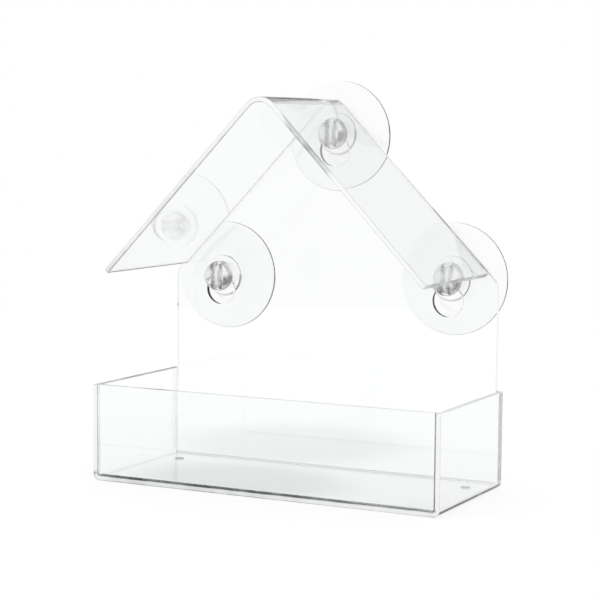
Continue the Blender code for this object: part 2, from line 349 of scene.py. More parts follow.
def mesh_from_grids(name, grids):
    """One mesh from grids of points and normals, with the finish of each cell and the shade of each point.

    Shade says how dark an edge is painted there, from 0 to 1: painted shade for the lines refraction draws."""
    places, facings, faces, finishes, shades, first = [], [], [], [], [], 0
    for place, facing, finish, shade in grids:
        rows, columns = place.shape[:2]
        places.append(place.reshape(-1, 3))
        facings.append(facing.reshape(-1))
        finishes.append(np.broadcast_to(finish, (rows - 1, columns)).reshape(-1))
        shades.append(np.broadcast_to(shade, (rows, columns)).reshape(-1))
        faces.append(grid_faces(rows, columns) + first)
        first += rows * columns
    mesh = bpy.data.meshes.new(name)
    mesh.from_pydata(np.concatenate(places).tolist(), [], np.concatenate(faces).tolist())
    for label, kind, domain, field, values in (
            ("finish", "INT", "FACE", "value", np.concatenate(finishes).astype(np.int32)),
            ("shade", "FLOAT", "POINT", "value", np.concatenate(shades)),
            ("facing", "FLOAT_VECTOR", "POINT", "vector", np.concatenate(facings))):
        mesh.attributes.new(label, kind, domain).data.foreach_set(field, values)
    return mesh


def closes(edges):
    """True if the edges are whole loops: every point has two of them."""
    count = {}
    for edge in edges:
        for vert in edge.verts:
            count[vert.index] = count.get(vert.index, 0) + 1
    return all(number == 2 for number in count.values())


def inside(triangles, links):
    """The triangles inside the loops of links: from outside inwards, each link crossed changes sides."""
    def sides(corners):
        return [frozenset(pair) for pair in zip(corners, corners[1:] + corners[:1])]

    beside = {}
    for corners in triangles:
        for side in sides(corners):
            beside.setdefault(side, []).append(corners)
    kept = {}
    reached = [(found[0], side in links) for side, found in beside.items() if len(found) == 1]
    while reached:
        corners, is_inside = reached.pop()
        if corners not in kept:
            kept[corners] = is_inside
            reached += [(other, is_inside != (side in links))
                        for side in sides(corners) for other in beside[side]]
    return [corners for corners, is_inside in kept.items() if is_inside]


def fill_loops(work, edges, axis):
    """New triangles inside flat loops of edges: the Delaunay triangles of their points that lie inside."""
    verts = sorted({vert for edge in edges for vert in edge.verts}, key=lambda vert: vert.index)
    number = {vert: i for i, vert in enumerate(verts)}
    flat = np.delete(np.array([vert.co[:] for vert in verts]), axis, axis=1) / MM
    links = [tuple(number[vert] for vert in edge.verts) for edge in edges]
    result = delaunay_2d_cdt([Vector(point) for point in flat.tolist()], links, [], 0, 1e-6, True)
    triangles = [tuple(result[3][corner][0] for corner in corners) for corners in result[2]]
    return [work.faces.new([verts[corner] for corner in corners])
            for corners in inside(triangles, {frozenset(link) for link in links})]


def fill_flat_ends(mesh, front, back):
    """Closes every open loop that lies in one plane square to an axis, holes left open.

    The new faces square to Y have the finishes front and back, and others are clear."""
    with edited(mesh) as work:
        bmesh.ops.remove_doubles(work, verts=work.verts, dist=PLANE_TOLERANCE)
        work.verts.index_update()
        finish = work.faces.layers.int["finish"]
        loops = [edge for edge in work.edges if edge.is_boundary]
        for axis in range(3):
            levels = {}
            for edge in loops:
                first, second = (vert.co[axis] for vert in edge.verts)
                if abs(first - second) < PLANE_TOLERANCE:
                    levels.setdefault(round(first / PLANE_TOLERANCE / 10), []).append(edge)
            for level, edges in levels.items():
                open_edges = [edge for edge in edges if edge.is_boundary]
                if len(open_edges) > 2 and closes(open_edges):
                    for face in fill_loops(work, open_edges, axis):
                        face[finish] = (front if level == min(levels) else back) if axis == 1 else CLEAR
        bmesh.ops.recalc_face_normals(work, faces=work.faces)


def finish_piece(name, mesh, materials):
    """Smooth faces with the surface's own normals; a face's finish picks its material."""
    mesh.shade_smooth()
    facing = np.zeros(3 * len(mesh.vertices), np.float32)
    mesh.attributes["facing"].data.foreach_get("vector", facing)
    mesh.normals_split_custom_set_from_vertices(facing.reshape(-1, 3).tolist())
    mesh.attributes.remove(mesh.attributes["facing"])
    for material in materials:
        mesh.materials.append(material)
    finish = np.zeros(len(mesh.polygons), np.int32)
    mesh.attributes["finish"].data.foreach_get("value", finish)
    mesh.polygons.foreach_set("material_index", finish)
    piece = bpy.data.objects.new(name, mesh)
    bpy.context.scene.collection.objects.link(piece)
    return piece


def flat_sheet(name, outline, holes, front, back, rim, shade, finish=WALL):
    """A flat sheet cut along its outline, its thickness along y. Its holes' walls are flame-polished.

    Shade is a function of the outline's x and z, and finish that of the outline's cut wall."""
    grids = []
    for path in [outline] + holes:
        place, facing = wall_grid(path, front, back, rim)
        if path is outline:
            grids.append((upright(place), upright(facing), finish, shade(*path[0].T)))
        else:
            grids.append((upright(place), upright(facing), CLEAR, 0.0))
    mesh = mesh_from_grids(name, grids)
    fill_flat_ends(mesh, CLEAR, CLEAR)
    return finish_piece(name, mesh, sheet_materials())


def trough_path(outer, low, outer_bend, inner, floor, inner_bend, top, rim):
    """A U seen from the front, round its outside and back round its inside, with arrises on top."""
    corners = [(outer, low), (outer, top), (inner, top), (inner, floor),
               (-inner, floor), (-inner, top), (-outer, top), (-outer, low)]
    radii = [outer_bend, rim, rim, inner_bend, inner_bend, rim, rim, outer_bend]
    return rounded_path(corners, radii)


def roof_lines(sheets):
    """Heights of the roof's sharp outer apex and of its sharp inner apex, and the eave's outer corner."""
    outer_bend = sheets.ridge_bend + SHEET
    outer = ROOF_HIGH.z - outer_bend + outer_bend / math.cos(sheets.roof_pitch)
    eave = (ROOF_HIGH.x, outer - ROOF_HIGH.x * math.tan(sheets.roof_pitch))
    return outer, outer - SHEET / math.cos(sheets.roof_pitch), eave


def gable_line(sheets):
    """Height of the back panel's sharp peak, and the slope of its edges below it."""
    slope = math.tan(sheets.roof_pitch - sheets.gable_ease)
    eave_x, eave_z = roof_lines(sheets)[2]
    return eave_z + eave_x * slope, slope


def roof_path(sheets):
    """The V: outside from the right eave over the ridge to the left, and back underneath."""
    outer, inner, (eave_x, eave_z) = roof_lines(sheets)
    pitch, rim = sheets.roof_pitch, sheets.edge_round
    under_x, under_z = eave_x - SHEET * math.sin(pitch), eave_z - SHEET * math.cos(pitch)
    corners = [(eave_x, eave_z), (0.0, outer), (-eave_x, eave_z), (-under_x, under_z),
               (0.0, inner), (under_x, under_z)]
    return rounded_path(corners, [rim, sheets.ridge_bend + SHEET, rim, rim, sheets.ridge_bend, rim])


def back_panel_path(sheets):
    """The house: upright sides from the foot to the shoulders, and two slopes up to the peak, all rounded."""
    peak, slope = gable_line(sheets)
    side, foot = PANEL_HIGH.x, PANEL_LOW.z
    nest = sheets.tray_bend - JOINT_GAP
    shoulder = peak - side * slope
    corners = [(side, foot), (side, shoulder), (0.0, peak), (-side, shoulder), (-side, foot)]
    shoulder_round = sheets.shoulder_round
    return rounded_path(corners, [nest, shoulder_round, sheets.peak_round, shoulder_round, nest])


def keyhole_path(centre, cups, corner):
    """A slot with a round upper end that opens below into the round entry hole.

    The slot's sides meet the entry circle where its half width is the sine of the angle from the axis,
    and the corner there is taken off by a short flat."""
    x, z = centre
    slot = cups.neck / 2 + JOINT_GAP
    entry = cups.head / 2 + cups.entry_clearance
    meet = math.asin(slot / entry)
    side_end = z - cups.travel + entry * math.cos(meet) + corner
    meet += corner / entry
    upper = np.linspace(0.0, math.pi, 2 * ARC_STEPS)
    lower = np.linspace(math.pi / 2 + meet, 5 * math.pi / 2 - meet, 4 * ARC_STEPS)
    way_up = np.stack([np.cos(upper), np.sin(upper)], axis=1)
    way_down = np.stack([np.cos(lower), np.sin(lower)], axis=1)
    left, right = np.array([[-1.0, 0.0]]), np.array([[1.0, 0.0]])
    points = np.concatenate([(x, z) + slot * way_up, (x, side_end) + slot * left,
                             (x, z - cups.travel) + entry * way_down, (x, side_end) + slot * right])
    return as_hole((points, np.concatenate([way_up, left, way_down, right])))


def cup_axis(side):
    """The x and z of a cup's axis, in the middle of its packed box."""
    low, high = CUP_BOXES[side]
    return (low.x + high.x) / 2, (low.z + high.z) / 2


def keyhole_tops():
    """Where each neck sits at the upper end of its slot: the joints' upper limits say how far that is."""
    tops = {}
    for joint in frame["joints"]:
        side = joint["child"].removeprefix("cup_")
        x, z = cup_axis(side)
        tops[side] = (x, z + joint["range_m"][1])
    return tops


def node_group(name, inputs, outputs):
    """A new shader node group with its input node and its output node."""
    group = bpy.data.node_groups.new(name, "ShaderNodeTree")
    for label, kind, default in inputs:
        socket = group.interface.new_socket(label, in_out="INPUT", socket_type=kind)
        socket.default_value = default
    for label, kind in outputs:
        group.interface.new_socket(label, in_out="OUTPUT", socket_type=kind)
    return group, group.nodes.new("NodeGroupInput"), group.nodes.new("NodeGroupOutput")


def maths(tree, operation, *values):
    """The result of one operation on sockets or plain numbers."""
    node = tree.nodes.new("ShaderNodeMath")
    node.operation = operation
    for socket, value in zip(node.inputs, values):
        if isinstance(value, (int, float)):
            socket.default_value = value
        else:
            tree.links.new(value, socket)
    return node.outputs[0]


def ramp(tree, value, start, end, first=0.0, last=1.0):
    """Smooth step from first at start to last at end."""
    node = tree.nodes.new("ShaderNodeMapRange")
    node.interpolation_type = "SMOOTHSTEP"
    for label, number in (("From Min", start), ("From Max", end), ("To Min", first), ("To Max", last)):
        node.inputs[label].default_value = number
    tree.links.new(value, node.inputs["Value"])
    return node.outputs[0]


def brightest(tree, first, *others):
    """The highest of several values."""
    for value in others:
        first = maths(tree, "MAXIMUM", first, value)
    return first


def blend(tree, amount, first, second, kind="RGBA"):
    """From first to second by amount, as colours or, with kind FLOAT, as numbers."""
    node = tree.nodes.new("ShaderNodeMix")
    node.data_type = kind
    sockets = (0, 6, 7) if kind == "RGBA" else (0, 2, 3)
    for number, value in zip(sockets, (amount, first, second)):
        socket = node.inputs[number]
        if isinstance(value, bpy.types.NodeSocket):
            tree.links.new(value, socket)
        elif isinstance(value, (int, float)):
            socket.default_value = value
        else:
            socket.default_value = (*value, 1.0)
    return node.outputs[2 if kind == "RGBA" else 0]


def noise(tree, coordinates, scale, detail, roughness=0.5, stretch=None):
    """Noise from 0 to 1, with scale as its grains per metre; a small stretch draws them out on that axis."""
    if stretch is not None:
        mapping = tree.nodes.new("ShaderNodeMapping")
        mapping.inputs["Scale"].default_value = stretch
        tree.links.new(coordinates, mapping.inputs["Vector"])
        coordinates = mapping.outputs[0]
    node = tree.nodes.new("ShaderNodeTexNoise")
    node.inputs["Scale"].default_value = scale
    node.inputs["Detail"].default_value = detail
    node.inputs["Roughness"].default_value = roughness
    tree.links.new(coordinates, node.inputs["Vector"])
    return node.outputs["Fac"]


def wear_group():
    """Fine wear of a clear surface: faint smudges and flow marks, as masks from 0 to 1."""
    group, taken, given = node_group(
        "clear_wear", [("Position", "NodeSocketVector", (0.0, 0.0, 0.0)), ("Size", "NodeSocketFloat", 40.0)],
        [("Smudges", "NodeSocketFloat"), ("Flow", "NodeSocketFloat")])
    place = taken.outputs["Position"]
    scaled = group.nodes.new("ShaderNodeVectorMath")
    scaled.operation = "SCALE"
    group.links.new(place, scaled.inputs[0])
    group.links.new(taken.outputs["Size"], scaled.inputs["Scale"])
    smudges = noise(group, scaled.outputs[0], scale=1.0, detail=4.0, roughness=0.6)
    flow = noise(group, scaled.outputs[0], scale=4.0, detail=2.0)
    group.links.new(ramp(group, smudges, 0.5, 0.7), given.inputs["Smudges"])
    group.links.new(flow, given.inputs["Flow"])
    return group


def grooves_group():
    """The laser's fine grooves across a cut edge and dull patches along it.

    Roughness is the dullness times 0.3 to 1.3, by the patches."""
    group, taken, given = node_group(
        "cut_grooves",
        [("Position", "NodeSocketVector", (0.0, 0.0, 0.0)), ("Dullness", "NodeSocketFloat", 0.1)],
        [("Roughness", "NodeSocketFloat"), ("Height", "NodeSocketFloat"), ("Patches", "NodeSocketFloat")])
    place = taken.outputs["Position"]
    patches = noise(group, place, scale=150.0, detail=2.0)
    grooves = noise(group, place, scale=5200.0, detail=1.0, stretch=(1.0, 0.02, 1.0))
    roughness = maths(group, "MULTIPLY", maths(group, "ADD", patches, 0.3), taken.outputs["Dullness"])
    for label, value in (("Roughness", roughness), ("Height", grooves), ("Patches", patches)):
        group.links.new(value, given.inputs[label])
    return group


def shared_group(name, make):
    """The node group of that name, made on its first use."""
    return bpy.data.node_groups.get(name) or make()


def place_group(tree, group, **values):
    """The group as a node, each of its inputs linked to a socket or set to a number."""
    node = tree.nodes.new("ShaderNodeGroup")
    node.node_tree = group
    for label, value in values.items():
        if isinstance(value, bpy.types.NodeSocket):
            tree.links.new(value, node.inputs[label])
        else:
            node.inputs[label].default_value = value
    return node


def plastic(name, ior, transmission, roughness):
    """A new material whose light passes through, with its tree, its shader and Object coordinates."""
    material = bpy.data.materials.new(name)
    material.use_nodes = True
    tree = material.node_tree
    shader = tree.nodes["Principled BSDF"]
    shader.inputs["Metallic"].default_value = 0.0
    shader.inputs["Transmission Weight"].default_value = transmission
    shader.inputs["IOR"].default_value = ior
    shader.inputs["Roughness"].default_value = roughness
    return material, tree, shader, tree.nodes.new("ShaderNodeTexCoord").outputs["Object"]


def darker(tint, part):
    return tuple(channel * part for channel in tint)


def own_value(tree, name):
    """The value that the piece's own attribute has at each point."""
    attribute = tree.nodes.new("ShaderNodeAttribute")
    attribute.attribute_name = name
    return attribute.outputs["Fac"]


def dashed_shade(tree, place, gaps):
    """The piece's painted shade, broken into dashes that keep 1 - gaps of it at their palest."""
    spots = noise(tree, place, scale=95.0, detail=2.0, roughness=0.6)
    return maths(tree, "MULTIPLY", own_value(tree, "shade"), ramp(tree, spots, 0.4, 0.6, 1.0 - gaps, 1.0))


def clear_sheet():
    """Polished faces of the clear sheet, with faint smudges."""
    sheets = settings("sheets")
    material, tree, shader, place = plastic("clear_sheet", ACRYLIC_IOR, transmission=1.0, roughness=0.0)
    wear = place_group(tree, shared_group("clear_wear", wear_group), Position=place, Size=40.0)
    tint = blend(tree, wear.outputs["Smudges"], tuple(sheets.tint), darker(sheets.tint, 0.99))
    tree.links.new(tint, shader.inputs["Base Color"])
    return material


def cut_face(name, transmission, dullness, contrast):
    """A laser-cut face with fine grooves across it, painted darker where its painted shade is. A high contrast
    leaves all but its darkest painted shade pale.
    """
    sheets = settings("sheets")
    material, tree, shader, place = plastic(name, ACRYLIC_IOR, transmission, dullness)
    cut = place_group(tree, shared_group("cut_grooves", grooves_group), Position=place, Dullness=dullness)
    pale = blend(tree, cut.outputs["Patches"], darker(sheets.edge_tint, 0.97), tuple(sheets.edge_tint))
    shade = maths(tree, "POWER", dashed_shade(tree, place, gaps=0.2), contrast)
    tint = blend(tree, shade, pale, tuple(sheets.line_tint))
    tree.links.new(tint, shader.inputs["Base Color"])
    tree.links.new(cut.outputs["Roughness"], shader.inputs["Roughness"])
    relief = tree.nodes.new("ShaderNodeBump")
    relief.inputs["Distance"].default_value = 0.02 * MM
    relief.inputs["Strength"].default_value = 0.3
    tree.links.new(cut.outputs["Height"], relief.inputs["Height"])
    tree.links.new(relief.outputs[0], shader.inputs["Normal"])
    return material


def cut_wall():
    """Cut edge of a sheet that is looked across: most light passes."""
    return cut_face("cut_wall", transmission=0.97, dullness=0.1, contrast=1.0)


def cut_end():
    """Cut end of a long sheet, frosted, because nothing shows through its whole length."""
    return cut_face("cut_end", transmission=0.0, dullness=0.3, contrast=3.0)


def arris():
    """The fine rounded line beside a front end, which light leaves sideways: dark in dashes of painted shade
    where its shade is, and pale elsewhere.
    """
    sheets = settings("sheets")
    material, tree, shader, place = plastic("arris", ACRYLIC_IOR, transmission=0.1, roughness=0.15)
    shade = dashed_shade(tree, place, gaps=0.35)
    tint = blend(tree, shade, tuple(sheets.edge_tint), tuple(sheets.line_tint))
    tree.links.new(tint, shader.inputs["Base Color"])
    return material


def glancing_shade_sheet():
    """The clear sheet with painted shade that shows at a glancing look: a dark line on the ridge and on the
    tray's right bend, for the lines that refraction draws there, and a faint grey that dims the left slope's
    reflection.
    """
    sheets = settings("sheets")
    material, tree, shader, place = plastic("glancing_shade_sheet", ACRYLIC_IOR, transmission=1.0, roughness=0.0)
    glancing = ramp(tree, tree.nodes.new("ShaderNodeLayerWeight").outputs["Facing"], 0.5, 0.7)
    shade = maths(tree, "MULTIPLY", dashed_shade(tree, place, gaps=0.15), glancing)
    tint = blend(tree, shade, tuple(sheets.tint), tuple(sheets.line_tint))
    tree.links.new(tint, shader.inputs["Base Color"])
    return material


def solvent_seam():
    """Solvent seam between two sheets: dark where its shade is, partly the joint's own dark colour and
    partly painted shade for the shade under the tray and the lines that refraction draws; pale elsewhere and
    in its bubbles.
    """
    sheets = settings("sheets")
    material, tree, shader, place = plastic("solvent_seam", ACRYLIC_IOR, transmission=1.0, roughness=0.05)
    pale = tuple(sheets.seam_pale)
    grey = blend(tree, dashed_shade(tree, place, gaps=0.3), pale, tuple(sheets.seam_tint))
    bubbles = maths(tree, "GREATER_THAN", noise(tree, place, scale=1400.0, detail=1.0), 0.66)
    tree.links.new(blend(tree, bubbles, grey, pale), shader.inputs["Base Color"])
    return material


def soft_moulding():
    """Soft clear plastic of the cups, a little milky along its flow marks, and duller in the thick head. It is
    painted grey where its shade is: painted shade for the dark rings that refraction draws at the lip, boss
    and head.
    """
    cups = settings("cups")
    material, tree, shader, place = plastic("soft_moulding", VINYL_IOR, 0.98, cups.roughness)
    wear = place_group(tree, shared_group("clear_wear", wear_group), Position=place, Size=120.0)
    pale = blend(tree, wear.outputs["Flow"], tuple(cups.tint), darker(cups.tint, 0.985))
    tint = blend(tree, dashed_shade(tree, place, gaps=0.5), pale, tuple(cups.grey))
    tree.links.new(tint, shader.inputs["Base Color"])
    roughness = ramp(tree, own_value(tree, "thick"), 0.0, 1.0, cups.roughness, cups.head_roughness)
    tree.links.new(roughness, shader.inputs["Roughness"])
    return material


def shared_material(make):
    """The material named as its maker is, made on its first use."""
    return bpy.data.materials.get(make.__name__) or make()


def sheet_materials():
    """The materials of faces, cut walls, cut ends, arrises and sheets with painted shade at a glancing look,
    in the order of the finishes.
    """
    return [shared_material(make) for make in (clear_sheet, cut_wall, cut_end, arris, glancing_shade_sheet)]


def show(piece, body, slot, *nodes):
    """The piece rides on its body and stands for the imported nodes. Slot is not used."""
    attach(piece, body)
    if nodes:
        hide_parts(*nodes)


class FEEDER_OT_back_panel(bpy.types.Operator):
    """Make the house-shaped back panel with its three keyholes"""
    bl_idname = "feeder.back_panel"
    bl_label = "Back panel"
    # The cut edge is frosted where its normal leans to the right by more than this
    right_normal = 0.05

    def execute(self, context):
        sheets, cups = settings("sheets"), settings("cups")
        keyholes = [keyhole_path(centre, cups, sheets.keyhole_corner) for centre in keyhole_tops().values()]
        outline = back_panel_path(sheets)
        faces_right = outline[1][:, 0] > self.right_normal
        piece = flat_sheet("back_panel_sheet", outline, keyholes, PANEL_LOW.y, PANEL_HIGH.y,
                           sheets.panel_edge_round, self.shade, np.where(faces_right, END, WALL))
        show(piece, "feeder", "acrylic", "back_panel")
        return {"FINISHED"}

    def shade(self, x, z):
        """Painted shade, dark down the gable's right side and pale down its left, standing in for the line
        that refraction draws there, and clear on the upright sides.
        """
        peak, slope = gable_line(settings("sheets"))
        return np.where(z > peak - PANEL_HIGH.x * slope, shade_at("gable across", x / PANEL_HIGH.x), 0.0)


class FEEDER_OT_roof(bpy.types.Operator):
    """Make the roof, one sheet bent along the ridge"""
    bl_idname = "feeder.roof"
    bl_label = "Roof"
    # Painted shade of the left slope, which dims its reflection, and of the left and right eaves
    left_slope_shade, left_eave_shade, right_eave_shade = 0.06, 0.10, 0.90
    # Part of the half width where the eaves begin, and how far the surface leans right where the painted dark
    # ridge line ends at the front, how much less at the back, over what it fades, and how far it leans on the
    # left
    eave_from = 0.95
    ridge_reach, ridge_narrowing, ridge_fade, ridge_left = 0.62, 0.32, 0.1, -0.35

    def execute(self, context):
        sheets = settings("sheets")
        path = roof_path(sheets)
        place, facing = wall_grid(path, ROOF_LOW.y, ROOF_HIGH.y, sheets.edge_round, STRETCH_ROWS)
        along = path_finish([END, GLANCE_SHADE, WALL, WALL, GLANCE_SHADE, END], [CLEAR, GLANCE_SHADE, WALL, GLANCE_SHADE, CLEAR, END])
        back = path_finish([END, WALL, WALL, WALL, WALL, WALL], [END, WALL, WALL, WALL, WALL, WALL])
        finish = wall_rows(ARRIS, along, back, len(path[0]), STRETCH_ROWS)
        mesh = mesh_from_grids("roof_sheet", [(upright(place), upright(facing), finish, self.shade(*path))])
        fill_flat_ends(mesh, END, WALL)
        show(finish_piece("roof_sheet", mesh, sheet_materials()), "feeder", "acrylic", "roof")
        return {"FINISHED"}

    def shade(self, points, normals):
        """Painted shade for the lines that refraction draws: a grey stretch on the right of the front end,
        grey down the right of the rear end and a dark right eave; and a faintly grey left slope, painted to
        dim its reflection.

        On the ridge there is a painted dark line, for the one that the bend draws, where the surface leans to
        the right by less than a reach, which shrinks towards the back, and to the left by no more than a
        limit. It ends before the rear end."""
        x, lean, upper = points[:, 0] / ROOF_HIGH.x, normals[:, 0], normals[:, 1] > 0
        outside, underneath = (shade_at("roof end %s across" % side, x) for side in ("outside", "underneath"))
        front = np.where(upper, outside, underneath)
        towards_back = np.linspace(0.0, 1.0, STRETCH_ROWS + 1)[:, None]
        reach = self.ridge_reach - self.ridge_narrowing * towards_back
        ridge = np.clip((reach + self.ridge_fade - lean) / self.ridge_fade, 0.0, 1.0)
        ridge = ridge * (lean > self.ridge_left) * shade_at("ridge back", towards_back)
        stretch = np.where(upper, ridge, 0.0)
        stretch = np.where(x < 0, np.maximum(stretch, self.left_slope_shade), stretch)
        eaves = np.where(x < 0, self.left_eave_shade, self.right_eave_shade)
        stretch = np.where(np.abs(x) > self.eave_from, eaves, stretch)
        rear = np.where(upper, shade_at("roof rear across", x), PALE)
        return wall_rows(front, stretch, rear, len(x), STRETCH_ROWS + 1)


class FEEDER_OT_tray_base(bpy.types.Operator):
    """Make the tray's bent sheet: two walls, the floor and two drain holes"""
    bl_idname = "feeder.tray_base"
    bl_label = "Tray base"
    # Painted shade on the tops of the walls and on the outside of the right front end
    left_top_shade, right_top_shade, right_outside_shade = 0.75, 0.60, 0.03
    # The first row of the arris keeps this part of its painted shade near the foot
    first_row_part = 0.6
    # Parts of the half width and of the height where the walls, their tops, the underside and the foot are,
    # and where the right bend is and how its normal leans up or down
    wall_from, top_from, underside_below, foot_below = 0.97, 0.97, 0.02, 0.06
    bend_from, bend_lean_low, bend_lean_high = 0.95, -0.95, -0.25

    def execute(self, context):
        sheets = settings("sheets")
        rim, bend = sheets.edge_round, sheets.tray_bend
        path = trough_path(TRAY_HIGH.x, TRAY_LOW.z, bend + SHEET, HALF_INSIDE, SHEET, bend, TRAY_HIGH.z, rim)
        place, facing = wall_grid(path, TRAY_LOW.y, TRAY_HIGH.y, rim, STRETCH_ROWS)
        along = path_finish([GLANCE_SHADE, END, END, GLANCE_SHADE, GLANCE_SHADE, END, END, GLANCE_SHADE],
                            [CLEAR, END, CLEAR, CLEAR, CLEAR, END, CLEAR, CLEAR])
        grids = [(upright(place), upright(facing), wall_rows(ARRIS, along, WALL, len(path[0]), STRETCH_ROWS),
                  self.shade(*path, place[:, :, 2]))]
        drain_x = HALF_INSIDE - sheets.drain_from_wall
        for x in (-drain_x, drain_x):
            hole = circle_path((x, PANEL_LOW.y - sheets.drain_from_panel), sheets.drain_diameter / 2)
            grids.append((*wall_grid(hole, TRAY_LOW.z, SHEET, rim), END, 0.0))
        mesh = mesh_from_grids("tray_base_sheet", grids)
        open_floor(mesh)
        fill_flat_ends(mesh, END, WALL)
        show(finish_piece("tray_base_sheet", mesh, sheet_materials()), "feeder", "acrylic", "tray_base")
        return {"FINISHED"}

    def shade(self, points, normals, y):
        """Painted shade for the lines that refraction draws: dark under the front, fading to the right;
        darkest at the foot and the top of the upright front ends, grey on top of the walls, and a line on the
        right bend that darkens towards the back."""
        x, z, lean = points[:, 0] / HALF_INSIDE, points[:, 1] / TRAY_HIGH.z, normals[:, 1]
        inner_side, underside = np.abs(x) < 1.0, z < self.underside_below
        left = np.where(inner_side, shade_at("tray left up", z), shade_at("tray outside up", z))
        right = np.where(inner_side, shade_at("tray right up", z), self.right_outside_shade)
        floor = np.where(underside, shade_at("tray underside across", x), shade_at("tray floor across", x))
        front = np.where(x < -self.wall_from, left, np.where(x > self.wall_from, right, floor))
        wall_tops = np.where(x < 0, self.left_top_shade, self.right_top_shade)
        stretch = np.where(z > self.top_from, wall_tops, 0.0)
        rows = wall_rows(front, stretch, PALE, len(x), STRETCH_ROWS + 1)
        rows[0] = np.where(z < self.foot_below, self.first_row_part * front, front)
        bend = (x > self.bend_from) & (lean < self.bend_lean_high) & (lean > self.bend_lean_low)
        return np.where(bend, np.interp(y, (TRAY_LOW.y, 0.0, TRAY_HIGH.y), BEND_SHADES), rows)


def open_floor(mesh):
    """Takes away the floor's flat faces, so that they can be filled again round the drains."""
    with edited(mesh) as work:
        flat = [face for face in work.faces
                if abs(face.normal.z) > LEVEL_NORMAL and face.calc_center_median().z < 2 * SHEET]
        bmesh.ops.delete(work, geom=flat, context="FACES")


class FEEDER_OT_front_panel(bpy.types.Operator):
    """Make the strip that closes the tray at the front"""
    bl_idname = "feeder.front_panel"
    bl_label = "Front panel"
    # Painted grey up the right side
    right_shade = 0.60

    def execute(self, context):
        sheets = settings("sheets")
        nest, rim = sheets.tray_bend - JOINT_GAP, sheets.panel_edge_round
        half, low, top = FRONT_HIGH.x, FRONT_LOW.z, FRONT_HIGH.z
        path = rounded_path([(half, low), (half, top), (-half, top), (-half, low)], [nest, rim, rim, nest])
        finish = path_finish([WALL, END, END, WALL], [WALL, END, WALL, WALL])
        piece = flat_sheet("front_panel_sheet", path, [], FRONT_LOW.y, FRONT_HIGH.y, rim, self.shade,
                           finish)
        show(piece, "feeder", "acrylic", "front_panel")
        return {"FINISHED"}

    def shade(self, x, z):
        """Painted shade for the lines that refraction draws: grey on top with one dark dash on the left, dark
        along the foot, fading to the right, and grey up the right side."""
        part = x / FRONT_HIGH.x
        side = np.where(x < 0, PALE, self.right_shade)
        low = np.where(z < FRONT_LOW.z + JOINT_GAP, shade_at("panel foot across", part), side)
        return np.where(z > FRONT_HIGH.z - SHEET, shade_at("panel top across", part), low)


class FEEDER_OT_seams(bpy.types.Operator):
    """Make the solvent seams: round the front panel, round the back panel's foot and under the roof's end"""
    bl_idname = "feeder.seams"
    bl_label = "Seams"
    # Painted grey up the right of the back seam, and the part of the height that is the foot
    rear_right_shade, foot_below = 0.15, 0.07

    def execute(self, context):
        sheets = settings("sheets")
        free, rim = sheets.seam_clearance, sheets.panel_edge_round
        nest = sheets.tray_bend - JOINT_GAP
        for name, low, high, shade in (("front_seam", FRONT_LOW, FRONT_HIGH, self.front_shade),
                                       ("back_seam", PANEL_LOW, PANEL_HIGH, self.back_shade)):
            path = trough_path(HALF_INSIDE - free, SHEET + free, sheets.tray_bend - free, high.x + free,
                               low.z - free, nest + free, TRAY_HIGH.z - rim, free)
            make_seam(name, path, low.y + rim, high.y - rim, shade(*path[0].T))
        # The roof seam is painted dark on the right: painted shade for the line that refraction draws where
        # the roof meets the panel
        path = roof_seam_path(sheets)
        make_seam("roof_seam", path, ROOF_HIGH.y + free, PANEL_LOW.y - free,
                  shade_at("roof seam across", path[0][:, 0] / ROOF_HIGH.x))
        reach = FRONT_HIGH.x - sheets.tray_bend
        low, top = SHEET + free, SHEET + sheets.fillet
        bead = rounded_path([(reach, low), (reach, top), (-reach, top), (-reach, low)], [free] * 4)
        # The bead is dark along the foot, fading to the right: partly a dark solvent joint and partly painted
        # shade for the dark line under the front
        make_seam("front_fillet", bead, FRONT_HIGH.y + free, FRONT_HIGH.y + sheets.fillet,
                  shade_at("bead across", bead[0][:, 0] / reach))
        return {"FINISHED"}

    def front_shade(self, x, z):
        """Dark along the foot, fading to the right; grey up the right side, and pale up the left: partly the
        joint's own dark colour and partly painted shade for the lines that refraction draws.
        """
        height = z / TRAY_HIGH.z
        sides = np.where(x < 0, shade_at("seam left up", height), shade_at("seam right up", height))
        return np.where(height < self.foot_below, shade_at("seam foot across", x / HALF_INSIDE), sides)

    def back_shade(self, x, z):
        """Clear, but for painted grey up the right side."""
        return np.where((z > SHEET * 2) & (x > 0), self.rear_right_shade, 0.0)


def make_seam(name, path, front, back, shade):
    """A thin solid of dried solvent between front and back, on the feeder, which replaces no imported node."""
    free = settings("sheets").seam_clearance
    place, facing = wall_grid(path, front, back, free)
    mesh = mesh_from_grids(name, [(upright(place), upright(facing), CLEAR, shade)])
    fill_flat_ends(mesh, CLEAR, CLEAR)
    show(finish_piece(name, mesh, [shared_material(solvent_seam)]), "feeder", "acrylic")


def roof_seam_path(sheets):
    """The V where the roof's end meets the back panel, from under the panel's sloping edge down to over the
    roof's underside."""
    free = sheets.seam_clearance + sheets.edge_round
    peak, slope = gable_line(sheets)
    pitch = sheets.roof_pitch
    inner = roof_lines(sheets)[1] + free / math.cos(pitch)
    peak -= free * math.hypot(1.0, slope)
    reach = ROOF_HIGH.x - SHEET
    high_end, low_end = peak - reach * slope, inner - reach * math.tan(pitch)
    corners = [(reach, high_end), (0.0, peak), (-reach, high_end), (-reach, low_end), (0.0, inner),
               (reach, low_end)]
    end_round = free / 4
    radii = [end_round, sheets.peak_round - free, end_round, end_round, sheets.ridge_bend + free, end_round]
    return rounded_path(corners, radii)


